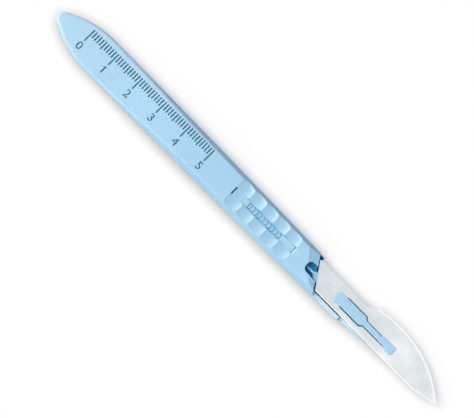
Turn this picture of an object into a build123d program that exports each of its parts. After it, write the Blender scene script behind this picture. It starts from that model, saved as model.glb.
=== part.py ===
from build123d import *
import os
from math import atan2, cos, degrees, radians, sin, sqrt

# A disposable scalpel: a moulded handle and the steel blade that is fixed on its boss.
# While it is drawn, x runs along the handle from the ruler's zero to the blade's tip,
# y points to the cutting edge's side and z up out of the ruler's face, with z = 0 in
# the middle of the blade. Lengths are in mm and angles in degrees.

# Handle seen from above: a pointed arch at the tail, then one long arc down each side
tail_x = -11.05
tail_tip_radius = 2.0
shoulder_x = 6.0
shoulder_half = 6.35
blank_front_x = 114.0
blank_front_half = 5.13

# Handle seen from the side: thin tail, an S-shaped ramp, thick grip
tail_half_height = 1.0
grip_half_height = 2.4
ramp_start_x = 8.0
ramp_end_x = 48.0
rim_half_height = 0.35
side_lean = 35.0
edge_radius = 0.9

# Ruler grooves in the upper face
ruler_length = 50
tick_pitch = 1.0
tick_width = 0.42
tick_depth = 0.3
tick_top_y = 4.2
short_tick = 2.4
half_tick = 2.85
long_tick = 4.5

# Finger grip: a row of scooped hollows across each face, long arc down, short arc up
hollow_start_x = 62.3
hollow_pitch = 5.0
hollow_count = 5
hollow_depth = 0.45
hollow_wall_radius = 2.9
hollow_floor_run = 4.0
hollow_floor_drop = 0.49
hollow_overlap = 0.12
hollow_half_width = 5.45
hollow_corner = 2.3
hollow_corner_sides = 4

# Channel down the middle of the grip, with a slot across each end
channel_half_width = 1.22
channel_extra_depth = 0.03
channel_start_x = 66.0
channel_end_run = 0.55
back_slot_length = 0.42
back_slot_width = 2.6
back_slot_depth = 1.0
front_slot_length = 0.2
front_slot_depth = 0.25

# Row of beads that stand in a bed in the channel's floor
bead_count = 10
bead_pitch = 1.35
bead_length = 0.62
bead_width = 1.4
bead_height = 0.22
bead_start_x = 68.75
bed_margin = 0.25

# Nose: a slanted ramp down to the wall that the blade butts against
ramp_line_top = (89.8, 4.0)
ramp_line_bottom = (98.5, -4.9)
nose_slope = 16.0
butt_top = (94.0, 4.8)
butt_bottom = (99.75, -4.05)
pocket_x = 93.0
pocket_half_width = 1.85
pocket_corner = 1.5
pocket_floor_z = -1.5
rib_y = -0.25
rib_width = 0.7
rib_top_z = 1.0
bar_high_y = 0.65
bar_depth = 1.05
bar_end_depth = 0.15
bar_low_depth = 0.5
bar_gap = 0.06
bar_top_z = 0.9
step_x = 95.6
step_z = -0.5
step_rim = 0.15
step_pit_depth = 0.8

# Blade
blade_thickness = 0.4
shank_top_y = 4.32
blade_back_y = -3.52
shank_end_x = 113.2
edge_start = (117.3, 6.25)
belly_high = (125.5, 7.22)
belly_end = (133.2, 6.5)
edge_end = (148.3, -0.75)
blade_tip = (149.2, -1.85)
back_bend_x = 138.5
back_near_tip = (147.0, -2.35)
corner_cut = 0.35
ground_width = 0.7
edge_land = 0.05
spine_width = 0.25
spine_depth = 0.03

# Fit of the blade in the handle
butt_gap = 0.38
butt_gap_low = 0.7
back_gap = 0.46
slot_gap = 0.33
neck_gap = 0.25
relief_depth = 1.0

# Rail along the blade's back
rail_top_z = 0.7
rail_end_x = 110.8
rail_end_radius = 1.2

# Tang under the blade
tang_thickness = 1.4
tang_end_x = 131.4
tang_end_half = 1.9
tang_lip = (111.2, -4.75)

# Boss that goes through the blade's slot, with a cap that holds the blade down
boss_y = 0.15
cap_height = 0.55
cap_back_x = 105.5
cap_corner = 1.2
cap_edge_radius = 0.18
stem_corner = 0.6
boss_half = 1.7
shoulder_back_x = 116.5
shoulder_front_x = 117.6
neck_half = 0.89
high_flare = (123.4, 125.4)
low_flare = (125.8, 127.4)
head_front_x = 129.5
head_half = 1.4
head_corner = 0.5
slot_back_x = 108.2
slot_front_x = 126.4
slot_corner = 1.0

# Values worked out from the ones above
seat_z = -blade_thickness / 2
blade_top_z = blade_thickness / 2
tang_bottom_z = seat_z - tang_thickness
rail_y = blade_back_y - back_gap
far = 40.0


def prism(outline, low, high):
    """A flat outline in x and y, raised from low to high."""
    return extrude(Pos(0, 0, low) * outline, high - low, dir=(0, 0, 1))


def leaning(outline, low, high, lean):
    """A flat outline raised from low to high, with its sides leaning in by an angle."""
    solid = extrude(Pos(0, 0, low) * outline, high - low, taper=lean)
    # The tapered extrude runs down where the outline was drawn the other way round
    if solid.bounding_box().min.Z < low - 0.01:
        solid = mirror(solid, Plane.XY.offset(low))
    return solid


def across(outline, half_width=far / 2):
    """A side view in x and z, extended to both sides along y."""
    return extrude(Plane.XZ * outline, half_width, both=True)


def butt_x(y, behind=0.0):
    """Where the butt wall, moved back by the distance behind, crosses the height y."""
    run = (butt_bottom[0] - butt_top[0]) / (butt_top[1] - butt_bottom[1])
    return butt_top[0] + (butt_top[1] - y) * run - behind * sqrt(1 + run * run)


def face_height(x):
    """Height of the handle's upper face above the middle plane at x."""
    half_run = (ramp_end_x - ramp_start_x) / 2
    half_rise = (grip_half_height - tail_half_height) / 2
    radius = (half_run**2 + half_rise**2) / (2 * half_rise)
    if x <= ramp_start_x:
        return tail_half_height
    if x >= ramp_end_x:
        return grip_half_height
    if x < ramp_start_x + half_run:
        return tail_half_height + radius - sqrt(radius**2 - (x - ramp_start_x) ** 2)
    return grip_half_height - radius + sqrt(radius**2 - (ramp_end_x - x) ** 2)


def handle_outline():
    """The handle from above, before its front is cut to shape."""
    tip_centre = tail_x + tail_tip_radius
    reach = shoulder_x - tip_centre
    arch = (reach**2 + shoulder_half**2 - tail_tip_radius**2) / (
        2 * (shoulder_half - tail_tip_radius)
    )
    scale = tail_tip_radius / (arch - tail_tip_radius)
    join_x = tip_centre - reach * scale
    join_y = (arch - shoulder_half) * scale
    shoulder = (shoulder_x, shoulder_half)
    arch_line = TangentArc(shoulder, (join_x, join_y), tangent=(-1, 0))
    side_line = TangentArc(shoulder, (blank_front_x, blank_front_half), tangent=(1, 0))
    tip_line = ThreePointArc((join_x, join_y), (tail_x, 0), (join_x, -join_y))
    front_line = Line(
        (blank_front_x, blank_front_half), (blank_front_x, -blank_front_half)
    )
    lines = [arch_line, side_line, tip_line, front_line]
    lines += [mirror(arch_line, Plane.XZ), mirror(side_line, Plane.XZ)]
    return make_face(lines)


def handle_side_view():
    """The handle from the side: upper and lower line are mirror images."""
    start = (tail_x - 5, tail_half_height)
    low = (ramp_start_x, tail_half_height)
    high = (ramp_end_x, grip_half_height)
    middle = ((low[0] + high[0]) / 2, (low[1] + high[1]) / 2)
    end = (blank_front_x + 5, grip_half_height)
    upper = [
        Line(start, low),
        TangentArc(low, middle, tangent=(1, 0)),
        TangentArc(high, middle, tangent=(-1, 0)),
        Line(high, end),
    ]
    lower = [mirror(line, Plane.XZ) for line in upper]
    ends = [
        Line(start, (start[0], -start[1])),
        Line(end, (end[0], -end[1])),
    ]
    return make_face(upper + lower + ends)


def handle_blank():
    """Handle body with leaning sides and rounded face edges, its front still square."""
    outline = handle_outline()
    half = prism(outline, 0, rim_half_height)
    half += leaning(outline, rim_half_height, grip_half_height, side_lean)
    blank = half + mirror(half, Plane.XY)
    blank &= across(handle_side_view())
    edges = [
        edge
        for edge in blank.edges()
        if abs(edge.center().Z) > tail_half_height - 0.05
        and edge.bounding_box().size.X > 0.3
        and edge.bounding_box().max.X < blank_front_x - 0.5
    ]
    return fillet(edges, edge_radius)


def ruler_grooves():
    """One groove for each millimetre, longer at every fifth and tenth."""
    grooves = []
    for mark in range(round(ruler_length / tick_pitch) + 1):
        x = mark * tick_pitch
        length = short_tick
        if mark % 5 == 0:
            length = half_tick
        if mark % 10 == 0:
            length = long_tick
        groove = Box(tick_width, length, 2, align=(Align.CENTER, Align.MAX, Align.MIN))
        grooves.append(Pos(x, tick_top_y, face_height(x) - tick_depth) * groove)
    return grooves


def hollow(start_x):
    """One scooped hollow, its front corners rounded and its sides open."""
    top_z = grip_half_height
    low_z = top_z - hollow_depth
    # The block's upright walls stand outside the rim by what its bottom fillet takes
    rise = hollow_wall_radius - hollow_depth
    spread = hollow_wall_radius - sqrt(hollow_wall_radius**2 - rise**2)
    corner = hollow_corner + spread
    centre_x = start_x + hollow_pitch - hollow_corner
    centre_y = hollow_half_width - hollow_corner
    turns = [radians(90 * n / hollow_corner_sides) for n in range(hollow_corner_sides + 1)]
    upper = [(centre_x + corner * cos(a), centre_y + corner * sin(a)) for a in turns]
    upper.append((start_x - 1, centre_y + corner))
    lower = [(x, -y) for x, y in reversed(upper)]
    block = prism(Polygon(*upper, *lower, align=None), low_z, low_z + 2 * far)
    low_edges = block.faces().sort_by(Axis.Z)[0].outer_wire().edges()
    low_edges = [edge for edge in low_edges if edge.center().X > start_x - 0.9]
    block = fillet(low_edges, hollow_wall_radius)
    return block & across(hollow_floor(start_x))


def hollow_floor(start_x):
    """Side view of the space above a hollow's floor, which runs down in a long arc."""
    top_z = grip_half_height
    back_x = start_x - hollow_overlap
    low_x = start_x + hollow_floor_run
    low_z = top_z - hollow_floor_drop
    return make_face(
        [
            TangentArc((low_x, low_z), (back_x, top_z), tangent=(-1, 0)),
            Line((back_x, top_z), (back_x, top_z + 1)),
            Line((back_x, top_z + 1), (low_x + far, top_z + 1)),
            Line((low_x + far, top_z + 1), (low_x + far, low_z)),
            Line((low_x + far, low_z), (low_x, low_z)),
        ]
    )


def channel():
    """Middle channel of the grip, with a slot at each end and the bed of the beads."""
    end_x = hollow_start_x + hollow_count * hollow_pitch
    floor_z = grip_half_height - hollow_depth - channel_extra_depth
    width = 2 * channel_half_width
    low = (Align.MIN, Align.CENTER, Align.MIN)
    cut = Pos(channel_start_x, 0, floor_z) * Box(
        end_x - channel_start_x, width, 3, align=low
    )
    end_wall = Polygon(
        (end_x, floor_z),
        (end_x + 2 * channel_end_run, 2 * grip_half_height - floor_z),
        (end_x, 2 * grip_half_height - floor_z),
        align=None,
    )
    cut += across(end_wall, channel_half_width)
    back_slot = Box(back_slot_length, back_slot_width, 3, align=low)
    front_slot = Box(front_slot_length, width, 3, align=low)
    cut += Pos(hollow_start_x, 0, floor_z - back_slot_depth) * back_slot
    cut += Pos(end_x - front_slot_length, 0, floor_z - front_slot_depth) * front_slot
    return cut + bead_bed(floor_z)


def bead_bed(floor_z):
    """Bed in the channel's floor, less the row of beads that stand in it."""
    low = (Align.MIN, Align.CENTER, Align.MIN)
    bed_length = (bead_count - 1) * bead_pitch + bead_length + 2 * bed_margin
    bed = Box(bed_length, bead_width + 2 * bed_margin, bead_height + 0.5, align=low)
    bed = Pos(bead_start_x - bed_margin, 0, floor_z - bead_height) * bed
    bead = Box(bead_length, bead_width, bead_height, align=low)
    for number in range(bead_count):
        bed -= Pos(bead_start_x + number * bead_pitch, 0, floor_z - bead_height) * bead
    return bed


def grip_relief():
    """Everything that is sunk into the upper face of the grip."""
    cuts = [hollow(hollow_start_x + n * hollow_pitch) for n in range(hollow_count)]
    cuts.append(channel())
    return cuts


def nose_plane():
    """Slanted plane of the nose's ramp, facing up and forward."""
    run = ramp_line_bottom[0] - ramp_line_top[0]
    drop = ramp_line_top[1] - ramp_line_bottom[1]
    length = sqrt(run**2 + drop**2)
    lean = radians(nose_slope)
    return Plane(
        origin=(*ramp_line_top, grip_half_height),
        x_dir=(run / length, -drop / length, 0),
        z_dir=(sin(lean) * drop / length, sin(lean) * run / length, cos(lean)),
    )


def ahead_of_butt(low, high):
    """Everything in front of the butt wall."""
    outline = Polygon(
        (butt_x(far), far),
        (butt_x(-far), -far),
        (butt_x(-far) + 4 * far, -far),
        (butt_x(-far) + 4 * far, far),
        align=None,
    )
    return prism(outline, low, high)


def nose_pocket():
    """Pocket behind the butt wall, less the rib and the bar that stand in it."""
    corner_x = pocket_x + pocket_corner
    corner_y = pocket_half_width - pocket_corner
    outline = make_face(
        [
            Line((corner_x, pocket_half_width), (far * 3, pocket_half_width)),
            RadiusArc(
                (pocket_x, corner_y), (corner_x, pocket_half_width), pocket_corner
            ),
            Line((pocket_x, corner_y), (pocket_x, -corner_y)),
            RadiusArc(
                (corner_x, -pocket_half_width), (pocket_x, -corner_y), pocket_corner
            ),
            Line((corner_x, -pocket_half_width), (far * 3, -pocket_half_width)),
            Line((far * 3, pocket_half_width), (far * 3, -pocket_half_width)),
        ]
    )
    pocket = prism(outline, pocket_floor_z, grip_half_height + 1)
    pocket -= ahead_of_butt(pocket_floor_z - 1, grip_half_height + 2)
    rib_length = butt_x(rib_y) - pocket_x
    rib = Box(rib_length, rib_width, rib_top_z - pocket_floor_z, align=Align.MIN)
    bar = Polygon(
        (butt_x(bar_high_y, bar_end_depth), bar_high_y),
        (butt_x(bar_high_y) + 1, bar_high_y),
        (butt_x(-pocket_half_width) + 1, -pocket_half_width),
        (butt_x(-pocket_half_width, bar_low_depth), -pocket_half_width),
        (butt_x(rib_y - rib_width, bar_depth), rib_y - rib_width),
        (butt_x(rib_y, bar_depth), rib_y),
        align=None,
    )
    pocket -= Pos(pocket_x, rib_y - rib_width / 2, pocket_floor_z) * rib
    pocket -= prism(bar, pocket_floor_z, bar_top_z)
    return pocket


def butt_gap_at(y):
    """Gap between the butt wall and the blade at the height y."""
    high_y = shank_top_y - corner_cut
    share = (high_y - y) / (high_y - blade_back_y)
    return butt_gap + (butt_gap_low - butt_gap) * share


def bar_nose():
    """Front of the pocket's bar, which fills the gap between butt wall and blade."""
    reach_high = butt_gap_at(bar_high_y) - bar_gap
    reach_low = butt_gap_at(-pocket_half_width) - bar_gap
    outline = Polygon(
        (butt_x(bar_high_y, 0.1), bar_high_y),
        (butt_x(bar_high_y, -reach_high), bar_high_y),
        (butt_x(-pocket_half_width, -reach_low), -pocket_half_width),
        (butt_x(-pocket_half_width, 0.1), -pocket_half_width),
        align=None,
    )
    return prism(outline, seat_z - relief_depth - 0.1, bar_top_z)


def body(blank):
    """Handle behind the butt wall, with ruler, grip and nose cut into it."""
    plane = nose_plane()
    upper_ramp = plane * Box(
        far * 2, far * 2, far, align=(Align.CENTER, Align.CENTER, Align.MIN)
    )
    part = blank - [upper_ramp, mirror(upper_ramp, Plane.XY)]
    part -= ahead_of_butt(-far, far)
    part -= ruler_grooves()
    relief = grip_relief()
    part -= relief
    part -= [mirror(cut, Plane.XY) for cut in relief]
    part -= nose_pocket()
    return part


def rail(blank):
    """Rail that runs on from the handle's lower side along the blade's back."""
    start_x = butt_x(rail_y) - 3
    bend_y = rail_y - 0.5
    outline = make_face(
        [
            Line((start_x, rail_y), (rail_end_x, rail_y)),
            Line((rail_end_x, rail_y), (rail_end_x, bend_y)),
            RadiusArc(
                (rail_end_x, bend_y),
                (rail_end_x - rail_end_radius, bend_y - rail_end_radius),
                rail_end_radius,
            ),
            Line(
                (rail_end_x - rail_end_radius, bend_y - rail_end_radius),
                (rail_end_x - rail_end_radius, -far),
            ),
            Line((rail_end_x - rail_end_radius, -far), (start_x, -far)),
            Line((start_x, -far), (start_x, rail_y)),
        ]
    )
    part = blank & prism(outline, tang_bottom_z, grip_half_height)
    wall_x = butt_x(rail_y)
    wall_z = rail_top_z + 1.1
    above = Polygon(
        (wall_x, wall_z),
        (wall_x + 1.1, rail_top_z),
        (rail_end_x + 5, rail_top_z),
        (rail_end_x + 5, far),
        (start_x - 5, far),
        (start_x - 5, wall_z),
        align=None,
    )
    return part - across(above)


def tang():
    """Plate under the blade, with its lower edges leaning in and a rounded end."""
    start_x = ramp_line_top[0] + 2
    outline = Polygon(
        (start_x, -5.0),
        (butt_bottom[0] - 3, -5.0),
        tang_lip,
        (122.5, blade_back_y),
        (tang_end_x, -tang_end_half),
        (tang_end_x, tang_end_half),
        (shank_end_x + 4, 3.9),
        (butt_top[0] + 2.2, shank_top_y - 0.3),
        (butt_top[0] + 1.1, shank_top_y - 1.1),
        (start_x, shank_top_y - 1.1),
        align=None,
    )
    ends = outline.vertices().filter_by(
        lambda vertex: vertex.X > tang_end_x - 0.1
    )
    outline = fillet(ends, 1.6)
    part = prism(outline, -rim_half_height, seat_z)
    lower = leaning(outline, rim_half_height, -tang_bottom_z, side_lean)
    part += mirror(lower, Plane.XY)
    thin_end = Polygon(
        (blank_front_x - 4, tang_bottom_z),
        (tang_end_x + 5, tang_bottom_z + 0.75),
        (tang_end_x + 5, tang_bottom_z - 3),
        (blank_front_x - 4, tang_bottom_z - 3),
        align=None,
    )
    part -= across(thin_end)
    return part - seat_relief()


def corner_step(blank):
    """Low step of the handle's upper side beside the blade's corner, with a pit."""
    start_x = butt_x(shank_top_y) - 2
    outline = Polygon(
        (start_x, 0), (step_x, 0), (step_x, far), (start_x, far), align=None
    )
    step = blank & prism(outline, tang_bottom_z, step_z)
    inside = Pos(-step_rim, -step_rim, 0) * outline
    low = step_z - step_pit_depth
    return step - ((Pos(0, -step_rim, 0) * blank) & prism(inside, low, far))


def seat_relief():
    """Groove in the seat below the gaps round the blade and in its slot."""
    wide = butt_gap_low + 0.1
    along_butt = Polygon(
        (butt_x(far), far),
        (butt_x(rail_y), rail_y),
        (butt_x(rail_y, -wide), rail_y),
        (butt_x(far, -wide), far),
        align=None,
    )
    along_back = Polygon(
        (butt_x(rail_y), rail_y),
        (rail_end_x - 0.4, rail_y),
        (rail_end_x - 0.4, blade_back_y + 0.05),
        (butt_x(rail_y), blade_back_y + 0.05),
        align=None,
    )
    low = seat_z - relief_depth
    relief = prism(along_butt, low, far) + prism(along_back, low, far)
    return relief + prism(blade_slot(), low, far)


def blade_slot():
    """Outline of the blade's slot, which clears the boss all round."""
    return keyhole(slot_back_x, slot_front_x, slot_gap, neck_gap, slot_corner)


def keyhole(back_x, front_x, gap, narrow_gap, corner):
    """Outline of the boss or of the blade's slot: wide behind, narrow in front."""
    wide = boss_half + gap
    narrow = neck_half + narrow_gap
    outline = Polygon(
        (back_x, wide),
        (shoulder_back_x + gap / 2, wide),
        (shoulder_front_x + gap / 2, narrow),
        (front_x, narrow),
        (front_x, -narrow),
        (shoulder_front_x + gap / 2, -narrow),
        (shoulder_back_x + gap / 2, -wide),
        (back_x, -wide),
        align=None,
    )
    back_corners = outline.vertices().filter_by(lambda v: v.X < back_x + 0.1)
    return Pos(0, boss_y) * fillet(back_corners, corner)


def boss():
    """Stem in the slot and the cap above it, which overlaps the blade at both ends."""
    stem_back_x = slot_back_x + slot_gap
    stem = keyhole(stem_back_x, slot_front_x - slot_gap, 0, 0, stem_corner)
    part = prism(stem, seat_z - relief_depth - 0.1, blade_top_z)
    head = Polygon(
        (high_flare[0], neck_half),
        (high_flare[1], head_half),
        (head_front_x, head_half),
        (head_front_x, -head_half),
        (low_flare[1], -head_half),
        (low_flare[0], -neck_half),
        (high_flare[0], -neck_half),
        align=None,
    )
    corners = head.vertices().filter_by(lambda v: v.X > head_front_x - 0.1)
    head = Pos(0, boss_y) * fillet(corners, head_corner)
    outline = keyhole(cap_back_x, high_flare[0], 0, 0, cap_corner) + head
    cap = prism(outline, blade_top_z, blade_top_z + cap_height)
    top_edges = cap.faces().sort_by(Axis.Z)[-1].outer_wire().edges()
    return part + fillet(top_edges, cap_edge_radius)


def make_handle():
    """The whole moulded handle in one solid."""
    blank = handle_blank()
    part = body(blank) + rail(blank)
    part += tang()
    part += corner_step(blank)
    part += bar_nose()
    part += boss()
    return part


def cutting_edge():
    """The ground edge from above: belly, long front and the turn at the tip."""
    belly = ThreePointArc(edge_start, belly_high, belly_end)
    front = TangentArc(belly_end, edge_end, tangent=belly % 1)
    return [belly, front, TangentArc(edge_end, blade_tip, tangent=front % 1)]


def blade_outline():
    """Blade from above: slanted butt, straight back, belly and tip."""
    butt_low = (butt_x(blade_back_y, -butt_gap_low), blade_back_y)
    cut_y = shank_top_y - corner_cut
    butt_high = (butt_x(cut_y, -butt_gap), cut_y)
    corner = (butt_high[0] + corner_cut * 0.9, shank_top_y)
    shank_end = (shank_end_x, shank_top_y)
    back_bend = (back_bend_x, blade_back_y)
    lines = [
        Line(butt_low, butt_high),
        Line(butt_high, corner),
        Line(corner, shank_end),
        TangentArc(shank_end, edge_start, tangent=(1, 0)),
        *cutting_edge(),
        Line(blade_tip, back_near_tip),
        TangentArc(back_bend, back_near_tip, tangent=(1, 0)),
        Line(back_bend, butt_low),
    ]
    return make_face(lines)


def grind():
    """What is ground off the upper side along the cutting edge."""
    edges = cutting_edge()
    behind = Vector(*edge_start) - (edges[0] % 0) * far
    beyond = Vector(*blade_tip) + (edges[-1] % 1) * far
    low_right = (beyond.X, beyond.Y - far)
    low_left = (behind.X, beyond.Y - far)
    inside = make_face(
        [
            Line(behind, edge_start),
            *edges,
            Line(blade_tip, beyond),
            Line(beyond, low_right),
            Line(low_right, low_left),
            Line(low_left, behind),
        ]
    )
    low = edge_land / 2
    depth = blade_thickness / 2 - low
    kept = leaning(inside, low, low + depth * 1.5, degrees(atan2(ground_width, depth)))
    room = Pos(edge_start[0], -far, low) * Box(
        2 * far, 3 * far, depth * 1.2, align=Align.MIN
    )
    return room - kept


def spine_edges(part):
    """Edges of both flat sides along the back, from its bend to the tip."""
    flat = [e for e in part.edges() if abs(e.center().Z) > blade_thickness / 2 - 0.001]
    return [e for e in flat if e.center().X > shank_end_x and e.center().Y < blade_tip[1]]


def make_blade():
    """Blade with both sides ground to the edge and a fine bevel along the spine."""
    part = prism(blade_outline(), -blade_thickness / 2, blade_thickness / 2)
    part -= prism(blade_slot(), -1, 1)
    upper_grind = grind()
    part -= [upper_grind, mirror(upper_grind, Plane.XY)]
    for side in (1, -1):
        flat = part.faces().sort_by(Axis.Z)[-1 if side > 0 else 0]
        edges = [e for e in spine_edges(part) if e.center().Z * side > 0]
        part = chamfer(edges, spine_width, spine_depth, reference=flat)
    return part


def export(parts):
    """Move all parts so that the whole stands centred on z = 0, and write them."""
    os.makedirs("parts", exist_ok=True)
    boxes = [part.bounding_box() for part in parts.values()]
    middle_x = (min(b.min.X for b in boxes) + max(b.max.X for b in boxes)) / 2
    middle_y = (min(b.min.Y for b in boxes) + max(b.max.Y for b in boxes)) / 2
    place = Pos(-middle_x, -middle_y, -min(b.min.Z for b in boxes))
    for name, part in parts.items():
        export_step(place * part, f"parts/{name}.step")


export({"handle": make_handle(), "blade": make_blade()})
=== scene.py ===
"""Looks of the disposable scalpel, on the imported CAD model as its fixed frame."""

import logging
from dataclasses import dataclass
from enum import Enum
from math import cos, radians, sin, sqrt
from typing import Any

import bmesh
import bpy
from mathutils import Matrix, Vector
from mathutils.bvhtree import BVHTree
from mathutils.interpolate import poly_3d_calc


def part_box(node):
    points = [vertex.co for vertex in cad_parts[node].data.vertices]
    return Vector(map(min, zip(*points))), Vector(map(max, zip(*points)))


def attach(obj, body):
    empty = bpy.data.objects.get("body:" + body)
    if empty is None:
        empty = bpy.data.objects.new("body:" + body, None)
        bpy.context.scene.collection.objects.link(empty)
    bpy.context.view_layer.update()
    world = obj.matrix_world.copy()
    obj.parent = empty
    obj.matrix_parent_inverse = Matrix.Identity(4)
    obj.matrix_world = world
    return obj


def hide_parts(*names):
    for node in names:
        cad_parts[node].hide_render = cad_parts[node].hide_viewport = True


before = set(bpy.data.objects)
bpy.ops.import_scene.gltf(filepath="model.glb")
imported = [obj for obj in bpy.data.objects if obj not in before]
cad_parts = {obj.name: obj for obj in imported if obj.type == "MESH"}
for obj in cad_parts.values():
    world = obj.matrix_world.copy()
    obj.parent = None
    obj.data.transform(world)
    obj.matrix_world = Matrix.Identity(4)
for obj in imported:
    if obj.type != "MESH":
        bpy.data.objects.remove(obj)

log = logging.getLogger("scalpel")

MM = 0.001
# In mm, as the ruler's sizes are
CENTIMETRE = 10.0
# Points nearer to each other than this are one point
WELD = 0.0005 * MM
# Step inwards from a corner to the face's middle, to land on the CAD face it is on
INWARDS = 0.1
# Cosine from which two faces count as the same one
SAME_FACE = 0.9


def linear(hex_colour: str) -> tuple[float, float, float, float]:
    """Turn an sRGB hex colour into linear values.

    Args:
        hex_colour: six hex digits after a hash sign.

    Returns:
        Linear red, green, blue and an alpha of 1.
    """
    values = []
    for start in (1, 3, 5):
        part = int(hex_colour[start : start + 2], 16) / 255
        values.append(part / 12.92 if part <= 0.04045 else ((part + 0.055) / 1.055) ** 2.4)
    return (values[0], values[1], values[2], 1.0)


def add_node(
    tree: bpy.types.NodeTree,
    kind: str,
    inputs: dict[str | int, Any] | None = None,
    **settings: Any,
) -> bpy.types.Node:
    """Add a node, set its properties, and set or link its inputs.

    Args:
        tree: node tree that gets the node.
        kind: Blender's name of the node type.
        inputs: socket name or number, with the value or the output socket it gets.
        settings: properties of the node.

    Returns:
        The new node.
    """
    node = tree.nodes.new(kind)
    for name, value in settings.items():
        setattr(node, name, value)
    for socket, value in (inputs or {}).items():
        if isinstance(value, bpy.types.NodeSocket):
            tree.links.new(value, node.inputs[socket])
        else:
            node.inputs[socket].default_value = value
    return node


def new_material(name: str) -> bpy.types.Material:
    """Make a material whose node tree is still empty.

    Args:
        name: name of the material.

    Returns:
        The new material.
    """
    material = bpy.data.materials.new(name)
    material.use_nodes = True
    material.node_tree.nodes.clear()
    return material


def noise(tree: bpy.types.NodeTree, size_mm: float, detail: float = 2.0) -> bpy.types.NodeSocket:
    """Make cloudy noise that is fixed to the piece.

    Args:
        tree: node tree that gets the nodes.
        size_mm: size of one cloud.
        detail: how many finer layers the noise has.

    Returns:
        A socket with the noise, from 0 to 1.
    """
    place = add_node(tree, "ShaderNodeTexCoord")
    clouds = add_node(
        tree,
        "ShaderNodeTexNoise",
        {"Vector": place.outputs["Object"], "Scale": 1 / (size_mm * MM), "Detail": detail},
    )
    return clouds.outputs["Fac"]


def distance_along(tree: bpy.types.NodeTree, axis: str) -> bpy.types.NodeSocket:
    """Read how far a point of the piece lies along one axis.

    Args:
        tree: node tree that gets the nodes.
        axis: X, Y or Z.

    Returns:
        A socket with the distance in metres.
    """
    place = add_node(tree, "ShaderNodeTexCoord")
    parts = add_node(tree, "ShaderNodeSeparateXYZ", {"Vector": place.outputs["Object"]})
    return parts.outputs[axis]


def ramp(
    tree: bpy.types.NodeTree,
    value: bpy.types.NodeSocket,
    low: float,
    high: float,
    **settings: Any,
) -> bpy.types.NodeSocket:
    """Turn a value into a share that grows from 0 to 1.

    Args:
        tree: node tree that gets the node.
        value: socket with the value.
        low: value at which the share is 0.
        high: value at which the share is 1.
        settings: properties of the node.

    Returns:
        A socket with the share.
    """
    share = add_node(
        tree,
        "ShaderNodeMapRange",
        {"Value": value, "From Min": low, "From Max": high},
        **settings,
    )
    return share.outputs["Result"]


def blend(
    tree: bpy.types.NodeTree,
    share: bpy.types.NodeSocket,
    first: str | bpy.types.NodeSocket,
    second: str | bpy.types.NodeSocket,
) -> bpy.types.NodeSocket:
    """Mix two colours.

    Args:
        tree: node tree that gets the node.
        share: socket with the share of the second colour.
        first: colour at share 0, as hex digits or as a socket.
        second: colour at share 1, as hex digits or as a socket.

    Returns:
        A socket with the mixed colour.
    """
    ends = [linear(end) if isinstance(end, str) else end for end in (first, second)]
    mix = add_node(
        tree,
        "ShaderNodeMix",
        {"Factor": share, "A": ends[0], "B": ends[1]},
        data_type="RGBA",
    )
    return mix.outputs["Result"]


def bump(
    tree: bpy.types.NodeTree,
    height: bpy.types.NodeSocket,
    strength: float,
    depth_mm: float,
    normal: bpy.types.NodeSocket | None = None,
) -> bpy.types.NodeSocket:
    """Give a surface fine relief.

    Args:
        tree: node tree that gets the node.
        height: socket with the height, from 0 to 1.
        strength: how much of the relief shows.
        depth_mm: depth of the relief.
        normal: socket with the normal to start from, or None for the mesh's own.

    Returns:
        A socket with the normal.
    """
    inputs = {"Height": height, "Strength": strength, "Distance": depth_mm * MM}
    if normal is not None:
        inputs["Normal"] = normal
    return add_node(tree, "ShaderNodeBump", inputs).outputs["Normal"]


def open_space(
    tree: bpy.types.NodeTree, reach_mm: float, samples: int
) -> bpy.types.NodeSocket:
    """Tell how open the space over a point is.

    Args:
        tree: node tree that gets the node.
        reach_mm: how far other surfaces still count.
        samples: rays that are sent out from each point.

    Returns:
        A socket that is 1 in the open and falls towards 0 in a narrow recess.
    """
    room = add_node(
        tree,
        "ShaderNodeAmbientOcclusion",
        {"Distance": reach_mm * MM},
        samples=samples,
        only_local=False,
    )
    return room.outputs["AO"]


def shown_to_eye(tree: bpy.types.NodeTree) -> bpy.types.NodeSocket:
    """Tell rays that carry a picture, straight or by mirror or glass, from light.

    Args:
        tree: node tree that gets the nodes.

    Returns:
        A socket that is 1 for eye, mirror and glass, and 0 for the light on things.
    """
    path = add_node(tree, "ShaderNodeLightPath")
    shown = path.outputs["Is Camera Ray"]
    for kind in ("Is Glossy Ray", "Is Transmission Ray"):
        either = add_node(
            tree,
            "ShaderNodeMath",
            {0: shown, 1: path.outputs[kind]},
            operation="MAXIMUM",
        )
        shown = either.outputs["Value"]
    return shown


class Side(Enum):
    """The two faces of the flat blade."""

    UPPER = 1
    LOWER = -1


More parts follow.
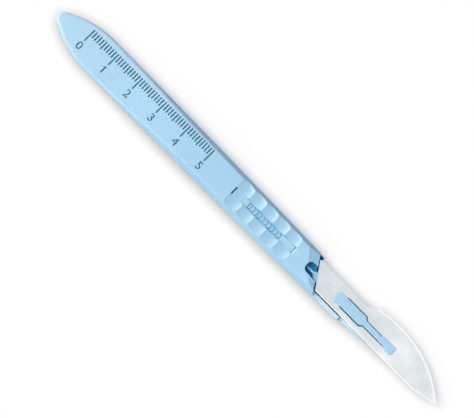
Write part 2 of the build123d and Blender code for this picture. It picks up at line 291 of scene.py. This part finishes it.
@dataclass(frozen=True)
class MouldedPolystyrene:
    """Light blue polystyrene, injection moulded.

    The eye sees an even, soft-lit blue with a faint satin from the mould. Painted light makes it
    paler where the plastic is thin, and painted shade a deeper, greener blue down in the
    recesses.
    """

    name: str = "moulded_polystyrene"
    colour: str = "#9fc8e1"
    cloud_colour: str = "#a5cce4"
    cloud_mm: float = 12.0
    thin_colour: str = "#add1e7"
    thin_x_mm: float = -85.0
    thick_x_mm: float = -20.0
    rail_colour: str = "#c4dbe8"
    rail_x_mm: tuple[float, float] = (31.0, 35.0)
    rail_y_mm: tuple[float, float] = (-3.7, -4.1)
    recess_colour: str = "#0b9cc4"
    recess_openness: tuple[float, float] = (0.54, 0.77)
    deep_colour: str = "#0a3a84"
    deep_openness: tuple[float, float] = (0.03, 0.26)
    recess_reach_mm: float = 4.0
    satin_grain_mm: float = 0.35
    satin_depth_mm: float = 0.01
    edge_round_mm: float = 0.12

    def colour_by_thickness(self, tree: bpy.types.NodeTree) -> bpy.types.NodeSocket:
        """Colour the plastic, a little cloudy, with painted light that makes it paler where it
        is thin.

        Args:
            tree: the material's node tree.

        Returns:
            A socket with the colour.
        """
        cloudy = blend(tree, noise(tree, self.cloud_mm), self.colour, self.cloud_colour)
        # Painted light: paler towards the tail, where the handle is thin and white paper would
        # shine through
        glow_share = ramp(
            tree,
            distance_along(tree, "X"),
            self.thin_x_mm * MM,
            self.thick_x_mm * MM,
            interpolation_type="SMOOTHSTEP",
        )
        plastic = blend(tree, glow_share, self.thin_colour, cloudy)
        # Painted light too: paler on the thin rail and lip beside the blade's back
        from_x, to_x = (x * MM for x in self.rail_x_mm)
        from_y, to_y = (y * MM for y in self.rail_y_mm)
        ahead = ramp(tree, distance_along(tree, "X"), from_x, to_x)
        beside = ramp(tree, distance_along(tree, "Y"), from_y, to_y)
        on_rail = add_node(
            tree, "ShaderNodeMath", {0: ahead, 1: beside}, operation="MULTIPLY"
        )
        return blend(tree, on_rail.outputs["Value"], plastic, self.rail_colour)

    def deepen_recesses(
        self, tree: bpy.types.NodeTree, open_colour: bpy.types.NodeSocket
    ) -> bpy.types.NodeSocket:
        """Put painted shade into the recesses: a deeper, greener blue where other surfaces close
        in.

        Args:
            tree: the material's node tree.
            open_colour: socket with the colour that the plastic has in the open.

        Returns:
            A socket with the colour.
        """
        # Painted shade: deeper, greener blue where little open space lies over the surface
        openness = open_space(tree, self.recess_reach_mm, samples=32)
        rise = ramp(tree, openness, *self.deep_openness)
        recess = blend(tree, rise, self.deep_colour, self.recess_colour)
        return blend(tree, ramp(tree, openness, *self.recess_openness), recess, open_colour)

    def build(self) -> bpy.types.Material:
        """Make the material.

        Returns:
            The finished material.
        """
        material = new_material(self.name)
        tree = material.node_tree
        rounded = add_node(
            tree, "ShaderNodeBevel", {"Radius": self.edge_round_mm * MM}, samples=6
        )
        # Real satin of the mould is finer than this, but would not show
        grain = noise(tree, self.satin_grain_mm, 3.0)
        satin = bump(tree, grain, 0.14, self.satin_depth_mm, rounded.outputs["Normal"])
        shader = add_node(
            tree,
            "ShaderNodeBsdfPrincipled",
            {
                "Base Color": self.deepen_recesses(tree, self.colour_by_thickness(tree)),
                "Roughness": 0.36,
                "IOR": 1.59,
                "Specular IOR Level": 0.2,
                "Subsurface Weight": 0.12,
                "Subsurface Radius": (0.25, 0.7, 1.0),
                "Subsurface Scale": 1.0 * MM,
                "Normal": satin,
            },
        )
        add_node(tree, "ShaderNodeOutputMaterial", {"Surface": shader.outputs["BSDF"]})
        return material


@dataclass(frozen=True)
class RulerPaint:
    """Painted shade: dark teal in the ruler's grooves and numbers, where shade falls.

    The eye sees fine dark lines, a little uneven with paler patches.
    """

    name: str = "painted_groove_shade"
    colour: str = "#1f6f8c"
    thin_colour: str = "#3f8fae"
    patch_mm: float = 0.8
    patch_depth_mm: float = 0.02

    def build(self) -> bpy.types.Material:
        """Make the material.

        Returns:
            The finished material.
        """
        material = new_material(self.name)
        tree = material.node_tree
        patches = noise(tree, self.patch_mm)
        uneven = bump(tree, patches, 0.3, self.patch_depth_mm)
        shader = add_node(
            tree,
            "ShaderNodeBsdfPrincipled",
            {
                "Base Color": blend(tree, patches, self.colour, self.thin_colour),
                "Roughness": 0.5,
                "IOR": 1.5,
                "Normal": uneven,
            },
        )
        add_node(tree, "ShaderNodeOutputMaterial", {"Surface": shader.outputs["BSDF"]})
        return material


@dataclass(frozen=True)
class StainlessSteel:
    """Stainless blade steel with fine marks that run one way.

    Rolled steel shows faint lines along the strip, a soft grey shine and cloudy,
    slightly brighter patches, painted reflection that grows brighter towards the tip.
    Ground steel is coloured brighter, a painted highlight, with short lines across the edge.
    """

    name: str
    colour: str
    bright_colour: str
    roughness: float
    line_size_mm: tuple[float, float, float]
    line_depth_mm: float = 0.004
    patch_mm: float = 7.0
    patch_range: tuple[float, float] = (0.56, 0.88)
    patch_roughness: float = 0.04
    brighter_per_metre: float = 4.0

    def tumbled_colour(
        self, tree: bpy.types.NodeTree, patches: bpy.types.NodeSocket
    ) -> bpy.types.NodeSocket:
        """Colour the steel with painted reflection: patches that grow brighter towards the tip.

        Args:
            tree: the material's node tree.
            patches: socket with the patches.

        Returns:
            A socket with the colour.
        """
        brighter = add_node(
            tree,
            "ShaderNodeMath",
            {0: distance_along(tree, "X"), 1: self.brighter_per_metre, 2: patches},
            operation="MULTIPLY_ADD",
        )
        share = ramp(tree, brighter.outputs["Value"], *self.patch_range)
        return blend(tree, share, self.colour, self.bright_colour)

    def build(self) -> bpy.types.Material:
        """Make the material.

        Returns:
            The finished material.
        """
        material = new_material(self.name)
        tree = material.node_tree
        place = add_node(tree, "ShaderNodeTexCoord")
        stretch = add_node(
            tree,
            "ShaderNodeMapping",
            {
                "Vector": place.outputs["Object"],
                "Scale": tuple(1 / (size * MM) for size in self.line_size_mm),
            },
        )
        lines = add_node(
            tree,
            "ShaderNodeTexNoise",
            {"Vector": stretch.outputs["Vector"], "Scale": 1.0, "Detail": 4.0},
        )
        patches = noise(tree, self.patch_mm, 4.0)
        rough = add_node(
            tree,
            "ShaderNodeMapRange",
            {
                "Value": patches,
                "To Min": self.roughness - self.patch_roughness,
                "To Max": self.roughness + self.patch_roughness,
            },
        )
        marks = bump(tree, lines.outputs["Fac"], 0.5, self.line_depth_mm)
        shader = add_node(
            tree,
            "ShaderNodeBsdfPrincipled",
            {
                "Base Color": self.tumbled_colour(tree, patches),
                "Metallic": 1.0,
                "Roughness": rough.outputs["Result"],
                "Normal": marks,
            },
        )
        add_node(tree, "ShaderNodeOutputMaterial", {"Surface": shader.outputs["BSDF"]})
        return material


ROLLED_STEEL = StainlessSteel(
    name="rolled_stainless_steel",
    colour="#c9d2d8",
    bright_colour="#dfe5e9",
    roughness=0.34,
    line_size_mm=(6.0, 0.12, 0.12),
)
# Painted highlight: the ground bevels get a near-white colour, brighter than the rolled flats;
# the lines across the edge and the roughness are the grind itself
GROUND_STEEL = StainlessSteel(
    name="ground_stainless_steel",
    colour="#f1f3f4",
    bright_colour="#f8f9f9",
    roughness=0.3,
    line_size_mm=(0.1, 1.5, 0.5),
)


@dataclass(frozen=True)
class BackdropPaper:
    """White matt paper sweep under the scalpel, with a barely visible tooth.

    Eye and mirror see it white, with a painted contact shadow close round the scalpel. What it
    sends up to the scalpel is less, as if it ended a little way round it.
    """

    name: str = "matt_backdrop_paper"
    colour: str = "#f7f7f7"
    bounce_colour: str = "#606060"
    contact_colour: str = "#cdd1d2"
    contact_reach_mm: float = 3.5
    own_share: float = 0.68
    own_strength: float = 1.06
    tooth_mm: float = 0.6
    tooth_depth_mm: float = 0.01

    def build(self) -> bpy.types.Material:
        """Make the material.

        Returns:
            The finished material.
        """
        material = new_material(self.name)
        tree = material.node_tree
        tooth = bump(tree, noise(tree, self.tooth_mm), 0.1, self.tooth_depth_mm)
        shown = shown_to_eye(tree)
        # Painted contact shadow: the paper is coloured darker close under the scalpel, where
        # hardly any light gets in between it and the paper
        openness = ramp(tree, open_space(tree, self.contact_reach_mm, samples=16), 0.5, 1.0)
        white = blend(tree, openness, self.contact_colour, self.colour)
        shader = add_node(
            tree,
            "ShaderNodeBsdfPrincipled",
            {
                "Base Color": blend(tree, shown, self.bounce_colour, white),
                "Roughness": 0.9,
                "Specular IOR Level": 0.2,
                "Normal": tooth,
            },
        )
        # White of its own keeps the shadows as pale as in the photograph
        own_white = add_node(
            tree, "ShaderNodeEmission", {"Color": white, "Strength": self.own_strength}
        )
        share = add_node(
            tree, "ShaderNodeMath", {0: shown, 1: self.own_share}, operation="MULTIPLY"
        )
        paper = add_node(
            tree,
            "ShaderNodeMixShader",
            {
                0: share.outputs["Value"],
                1: shader.outputs["BSDF"],
                2: own_white.outputs["Emission"],
            },
        )
        add_node(tree, "ShaderNodeOutputMaterial", {"Surface": paper.outputs["Shader"]})
        return material


def put_in_scene(name: str, data: bpy.types.ID) -> bpy.types.Object:
    """Make an object and link it to the scene.

    Args:
        name: name of the object.
        data: its mesh, curve, lamp or camera.

    Returns:
        The new object, at the origin.
    """
    thing = bpy.data.objects.new(name, data)
    bpy.context.scene.collection.objects.link(thing)
    return thing


def mesh_from(shape: bmesh.types.BMesh, name: str) -> bpy.types.Mesh:
    """Turn a shape into a mesh and free the shape.

    Args:
        shape: the shape.
        name: name of the mesh.

    Returns:
        The mesh.
    """
    mesh = bpy.data.meshes.new(name)
    shape.to_mesh(mesh)
    shape.free()
    return mesh


def merged_copy(node: str, name: str) -> bpy.types.Object:
    """Copy a CAD node's mesh into a new piece, its loose triangles joined.

    Args:
        node: name of the CAD node.
        name: name of the new piece.

    Returns:
        The new piece, at the origin.
    """
    shape = bmesh.new()
    shape.from_mesh(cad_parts[node].data)
    bmesh.ops.remove_doubles(shape, verts=shape.verts, dist=WELD)
    return put_in_scene(name, mesh_from(shape, name))


def cad_normals(piece: bpy.types.Object, node: str) -> list[Vector]:
    """Find the CAD model's own normal at each corner of a piece's faces.

    Args:
        piece: a piece that was copied from the CAD node.
        node: name of the CAD node.

    Returns:
        One normal for each face corner; faces that the CAD model lacks keep their own.
    """
    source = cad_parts[node].data
    spots = [vertex.co.copy() for vertex in source.vertices]
    tree = BVHTree.FromPolygons(spots, [tuple(face.vertices) for face in source.polygons])
    turned = [corner.vector.copy() for corner in source.corner_normals]
    normals = []
    for face in piece.data.polygons:
        for number in face.vertices:
            spot = piece.data.vertices[number].co
            _, _, index, _ = tree.find_nearest(spot.lerp(face.center, INWARDS))
            under = source.polygons[index]
            if under.normal.dot(face.normal) < SAME_FACE:
                normals.append(face.normal.copy())
                continue
            shares = poly_3d_calc([spots[v] for v in under.vertices], spot)
            blend = Vector()
            for share, corner in zip(shares, under.loop_indices):
                blend += turned[corner] * share
            normals.append(blend.normalized())
    return normals


def smooth_between_edges(piece: bpy.types.Object, node: str, crisp_deg: float) -> int:
    """Shade a piece smooth, and keep the edges along which its CAD faces meet crisp.

    Args:
        piece: the piece to shade.
        node: name of the CAD node that it was copied from.
        crisp_deg: turn of the CAD normals across an edge from which it is crisp.

    Returns:
        How many edges are crisp.
    """
    mesh = piece.data
    normals = cad_normals(piece, node)
    sides: dict[int, list[tuple[Vector, Vector]]] = {}
    for face in mesh.polygons:
        face.use_smooth = True
        loops = list(face.loop_indices)
        for first, second in zip(loops, loops[1:] + loops[:1]):
            ends = (normals[first], normals[second])
            if mesh.loops[first].vertex_index > mesh.loops[second].vertex_index:
                ends = (normals[second], normals[first])
            sides.setdefault(mesh.loops[first].edge_index, []).append(ends)
    # Normals that came along with the copy would win over the crisp edges
    if "custom_normal" in mesh.attributes:
        mesh.attributes.remove(mesh.attributes["custom_normal"])
    crisp = 0
    for edge in mesh.edges:
        near, far = sides[edge.index]
        turns = [one.angle(other, 0.0) for one, other in zip(near, far)]
        edge.use_edge_sharp = sum(turns) / 2 > radians(crisp_deg)
        crisp += edge.use_edge_sharp
    return crisp


@dataclass
class RulerScale:
    """The engraved ruler on the handle's upper face. Sizes are in mm.

    Places are counted along the handle from the ruler's zero. The weight of the
    numbers is what their strokes gain, as a share of the type size.
    """

    zero_from_tail: float = 11.05
    length: float = 50.0
    groove_width: float = 0.42
    groove_top: float = 4.2
    groove_bottom: float = -0.4
    number_top: float = -1.0
    number_height: float = 2.55
    number_width_share: float = 1.08
    number_stroke: float = 0.38
    number_weight: float = 0.004
    flag_length: float = 0.95
    flag_width: float = 0.304
    flag_turn_deg: float = 38.0
    engraving_depth: float = 0.25
    slack: float = 0.01
    ramp_start: float = 8.0
    ramp_end: float = 48.0
    thin_height: float = 1.0
    thick_height: float = 2.4

    def face_height(self, along: float) -> float:
        """Height of the upper face above the handle's middle plane.

        Args:
            along: distance from the ruler's zero, in mm.

        Returns:
            Height in mm.
        """
        half_run = (self.ramp_end - self.ramp_start) / 2
        half_rise = (self.thick_height - self.thin_height) / 2
        radius = (half_run**2 + half_rise**2) / (2 * half_rise)
        near = min(max(along - self.ramp_start, 0.0), half_run)
        far = min(max(self.ramp_end - along, 0.0), half_run)
        if along < self.ramp_start + half_run:
            return self.thin_height + radius - sqrt(radius**2 - near**2)
        return self.thick_height - radius + sqrt(radius**2 - far**2)

    def place(self, along: float, across: float, height: float) -> Vector:
        """Turn ruler measurements into a place in the model's frame.

        Args:
            along: distance from the ruler's zero towards the blade, in mm.
            across: distance from the handle's middle towards the edge side, in mm.
            height: height above the handle's middle plane, in mm.

        Returns:
            The place in metres.
        """
        low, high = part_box("handle")
        middle = (low.y + high.y) / 2
        return Vector(
            (
                low.x + (self.zero_from_tail + along) * MM,
                middle + across * MM,
                (low.z + high.z) / 2 + height * MM,
            )
        )

    def number_cutter(self, number: int, paint: bpy.types.Material) -> bpy.types.Object:
        """Make the solid that engraves one number.

        Args:
            number: the number of centimetres to engrave.
            paint: material that the engraving gets.

        Returns:
            A mesh object that stands through the handle's upper face.
        """
        letters = bpy.data.curves.new(f"number_{number}", "FONT")
        letters.body = str(number)
        letters.align_x = "CENTER"
        letters.align_y = "BOTTOM"
        letters.resolution_u = 6
        letters.extrude = 0.5
        letters.offset = self.number_weight
        typed = put_in_scene(letters.name, letters)
        mesh = bpy.data.meshes.new_from_object(
            typed.evaluated_get(bpy.context.evaluated_depsgraph_get())
        )
        bpy.data.objects.remove(typed)
        heights = [vertex.co.y for vertex in mesh.vertices]
        sides = [vertex.co.x for vertex in mesh.vertices]
        size = self.number_height * MM / (max(heights) - min(heights))
        along = number * CENTIMETRE
        floor = self.face_height(along) - self.engraving_depth
        foot = self.place(along, self.number_top - self.number_height, floor)
        width = size * self.number_width_share
        mesh.transform(
            Matrix.Translation(foot)
            @ Matrix.Diagonal((width, size, MM, 1.0))
            @ Matrix.Translation((-(max(sides) + min(sides)) / 2, -min(heights), 0.5))
        )
        shape = bmesh.new()
        shape.from_mesh(mesh)
        bmesh.ops.remove_doubles(shape, verts=shape.verts, dist=WELD)
        bmesh.ops.recalc_face_normals(shape, faces=shape.faces)
        bpy.data.meshes.remove(mesh)
        cutter = put_in_scene(
            f"number_cutter_{number}", mesh_from(shape, f"number_cutter_{number}")
        )
        cutter.data.materials.append(paint)
        return cutter

    def flag_cutter(self, paint: bpy.types.Material) -> bpy.types.Object:
        """Make the solid that engraves the flag of the number 1.

        Args:
            paint: material that the engraving gets.

        Returns:
            A mesh object that stands through the handle's upper face.
        """
        shape = bmesh.new()
        bmesh.ops.create_cube(shape, size=1.0)
        along = CENTIMETRE + self.number_stroke / 2
        middle = self.place(
            along, self.number_top, self.face_height(along) - self.engraving_depth
        )
        turn = Matrix.Rotation(radians(self.flag_turn_deg), 4, "Z")
        shape.transform(
            Matrix.Translation(middle)
            @ turn
            @ Matrix.Diagonal((self.flag_length * MM, self.flag_width * MM, MM, 1.0))
            @ Matrix.Translation((-0.5, -0.5, 0.5))
        )
        cutter = put_in_scene("flag_cutter", mesh_from(shape, "flag_cutter"))
        cutter.data.materials.append(paint)
        return cutter

    def engrave_numbers(self, piece: bpy.types.Object, paint: bpy.types.Material) -> None:
        """Cut the numbers 0 to 5 into the handle.

        Args:
            piece: the handle's piece.
            paint: material that the engraving gets.
        """
        highest = int(self.length / CENTIMETRE)
        cutters = [self.number_cutter(number, paint) for number in range(highest + 1)]
        cutters.append(self.flag_cutter(paint))
        for cutter in cutters:
            cut = piece.modifiers.new(cutter.name, "BOOLEAN")
            cut.operation = "DIFFERENCE"
            cut.solver = "MANIFOLD"
            cut.material_mode = "TRANSFER"
            cut.object = cutter
        ready = piece.evaluated_get(bpy.context.evaluated_depsgraph_get())
        mesh = bpy.data.meshes.new_from_object(ready)
        piece.modifiers.clear()
        piece.data = mesh
        mesh.name = piece.name
        for cutter in cutters:
            bpy.data.objects.remove(cutter)

    def paint_grooves(self, piece: bpy.types.Object, slot: int) -> int:
        """Give the ruler's grooves their painted shade.

        Args:
            piece: the handle's piece.
            slot: number of the piece's material slot that holds the paint.

        Returns:
            How many faces were painted.
        """
        origin = self.place(0.0, 0.0, 0.0)
        painted = 0
        reach = self.groove_width / 2 + self.slack
        for face in piece.data.polygons:
            along = (face.center.x - origin.x) / MM
            across = (face.center.y - origin.y) / MM
            height = (face.center.z - origin.z) / MM
            beside = abs(along - round(along))
            on_ruler = -reach < along < self.length + reach and beside < reach
            in_rows = self.groove_bottom < across < self.groove_top + self.slack
            sunk = 0 < height < self.face_height(along) - 3 * self.slack
            if on_ruler and in_rows and sunk:
                face.material_index = slot
                painted += 1
        return painted


@dataclass
class Handle:
    """The moulded handle with its engraved ruler, whose grooves and numbers hold painted shade.
    """

    plastic: MouldedPolystyrene
    paint: RulerPaint
    ruler: RulerScale
    crisp_deg: float = 5.0

    def build(self) -> bpy.types.Object:
        """Copy the CAD handle, engrave its ruler, put painted shade in its grooves and numbers,
        and dress it.

        Returns:
            The finished piece.
        """
        piece = merged_copy("handle", "handle_moulding")
        piece.data.materials.clear()
        piece.data.materials.append(self.plastic.build())
        # Painted shade: dark teal stands in for the shade down in the ruler's grooves and
        # numbers
        paint = self.paint.build()
        self.ruler.engrave_numbers(piece, paint)
        slot = piece.data.materials.find(paint.name)
        painted = self.ruler.paint_grooves(piece, slot)
        crisp = smooth_between_edges(piece, "handle", self.crisp_deg)
        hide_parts("handle")
        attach(piece, "root")
        faces = len(piece.data.polygons)
        log.info("%s: %d faces, %d painted, %d crisp edges", piece.name, faces, painted, crisp)
        return piece


@dataclass
class Blade:
    """The steel blade, its flat sides rolled and its edge ground."""

    rolled: StainlessSteel
    ground: StainlessSteel
    flat_deg: float = 5.0
    wall_deg: float = 40.0

    def build(self) -> bpy.types.Object:
        """Copy the CAD blade and give its flats and its bevels their steel.

        Returns:
            The finished piece.
        """
        piece = merged_copy("blade", "blade_steel")
        piece.data.materials.clear()
        piece.data.materials.append(self.rolled.build())
        piece.data.materials.append(self.ground.build())
        for side in Side:
            facing = Vector((0, 0, side.value))
            for face in piece.data.polygons:
                slope = face.normal.dot(facing)
                if cos(radians(self.wall_deg)) < slope < cos(radians(self.flat_deg)):
                    face.material_index = 1
        for face in piece.data.polygons:
            face.use_smooth = True
        piece.data.normals_split_custom_set(cad_normals(piece, "blade"))
        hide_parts("blade")
        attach(piece, "root")
        log.info("%s: %d faces", piece.name, len(piece.data.polygons))
        return piece


@dataclass(frozen=True)
class Lamp:
    """One soft studio lamp, so far away that its rays run side by side."""

    name: str
    colour: str
    strength: float
    spread_deg: float
    shines_from: tuple[float, float, float]

    def hang(self) -> bpy.types.Object:
        """Hang the lamp.

        Returns:
            The lamp's object.
        """
        light = bpy.data.lights.new(self.name, "SUN")
        light.color = linear(self.colour)[:3]
        light.energy = self.strength
        light.angle = radians(self.spread_deg)
        holder = put_in_scene(self.name, light)
        holder.rotation_mode = "QUATERNION"
        holder.rotation_quaternion = Vector(self.shines_from).to_track_quat("Z", "Y")
        return holder


# The main softbox, over the photograph's left side
KEY_LAMP = Lamp(
    name="key_softbox",
    colour="#ffeeda",
    strength=1.45,
    spread_deg=60.0,
    shines_from=(-0.75, -0.62, 1.0),
)
# Light that white walls on the same side send back
WALL_LIGHT = Lamp(
    name="white_wall_light",
    colour="#ffeeda",
    strength=1.9,
    spread_deg=80.0,
    shines_from=(-1.1, -0.65, 1.0),
)
# Low lamp behind the tail, which the steep sides of the grip mirror
TAIL_LAMP = Lamp(
    name="tail_lamp",
    colour="#ffeeda",
    strength=1.3,
    spread_deg=16.0,
    shines_from=(-0.82, -0.15, 0.56),
)


@dataclass
class Studio:
    """Floor, lights and camera of the photograph. Lengths are in metres."""

    paper: BackdropPaper
    lamps: tuple[Lamp, ...]
    floor_half: float = 1.5
    floor_gap: float = 0.00003
    sky_colour: str = "#a9d4ff"
    sky_strength: float = 0.47
    view_turn_deg: float = 45.4
    view_lean_deg: float = 9.0
    view_distance: float = 0.8
    view_width: float = 0.1399
    aim_from_tail: float = 0.078
    aim_across: float = -0.00298

    def lay_floor(self) -> None:
        """Lay the paper that the scalpel lies on."""
        shape = bmesh.new()
        bmesh.ops.create_grid(shape, x_segments=2, y_segments=2, size=self.floor_half)
        bmesh.ops.translate(shape, verts=shape.verts, vec=(0, 0, -self.floor_gap))
        floor = put_in_scene("backdrop_paper", mesh_from(shape, "backdrop_paper"))
        floor.data.materials.append(self.paper.build())

    def fill_sky(self) -> None:
        """Make the even light from all round, and the white that metal mirrors."""
        world = bpy.data.worlds.new("studio_tent")
        world.use_nodes = True
        tree = world.node_tree
        tree.nodes.clear()
        light = add_node(
            tree,
            "ShaderNodeBackground",
            {"Color": linear(self.sky_colour), "Strength": self.sky_strength},
        )
        white = add_node(
            tree, "ShaderNodeBackground", {"Color": linear("#ffffff"), "Strength": 1.0}
        )
        either = add_node(
            tree,
            "ShaderNodeMixShader",
            {
                0: shown_to_eye(tree),
                1: light.outputs["Background"],
                2: white.outputs["Background"],
            },
        )
        add_node(tree, "ShaderNodeOutputWorld", {"Surface": either.outputs["Shader"]})
        bpy.context.scene.world = world

    def set_camera(self) -> None:
        """Set the camera over the scalpel, turned and leaned as in the photograph."""
        turn = radians(self.view_turn_deg)
        lean = radians(self.view_lean_deg)
        across = Vector((0, cos(lean), sin(lean)))
        along = Vector((1, 0, 0))
        right = along * cos(turn) + across * sin(turn)
        up = across * cos(turn) - along * sin(turn)
        back = right.cross(up)
        low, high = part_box("handle")
        aim = Vector(
            (
                low.x + self.aim_from_tail,
                (low.y + high.y) / 2 + self.aim_across,
                (low.z + high.z) / 2,
            )
        )
        lens = bpy.data.cameras.new("photo_camera")
        lens.sensor_width = 36.0
        lens.lens = lens.sensor_width * self.view_distance / self.view_width
        lens.clip_start = 0.01
        lens.clip_end = 10.0
        camera = put_in_scene("photo_camera", lens)
        turned = Matrix((right, up, back)).transposed().to_4x4()
        camera.matrix_world = (
            Matrix.Translation(aim + back * self.view_distance) @ turned
        )
        bpy.context.scene.camera = camera

    def build(self) -> None:
        """Set up the whole studio."""
        self.lay_floor()
        self.fill_sky()
        for lamp in self.lamps:
            lamp.hang()
        self.set_camera()
        bpy.context.scene.view_settings.view_transform = "Standard"
        log.info("studio is set")


def main() -> None:
    """Build the scalpel's pieces, then the studio round them."""
    logging.basicConfig(level=logging.INFO, format="%(name)s: %(message)s")
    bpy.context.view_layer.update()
    Handle(MouldedPolystyrene(), RulerPaint(), RulerScale()).build()
    Blade(ROLLED_STEEL, GROUND_STEEL).build()
    Studio(BackdropPaper(), (KEY_LAMP, WALL_LIGHT, TAIL_LAMP)).build()
    bpy.context.view_layer.update()


if __name__ == "__main__":
    main()
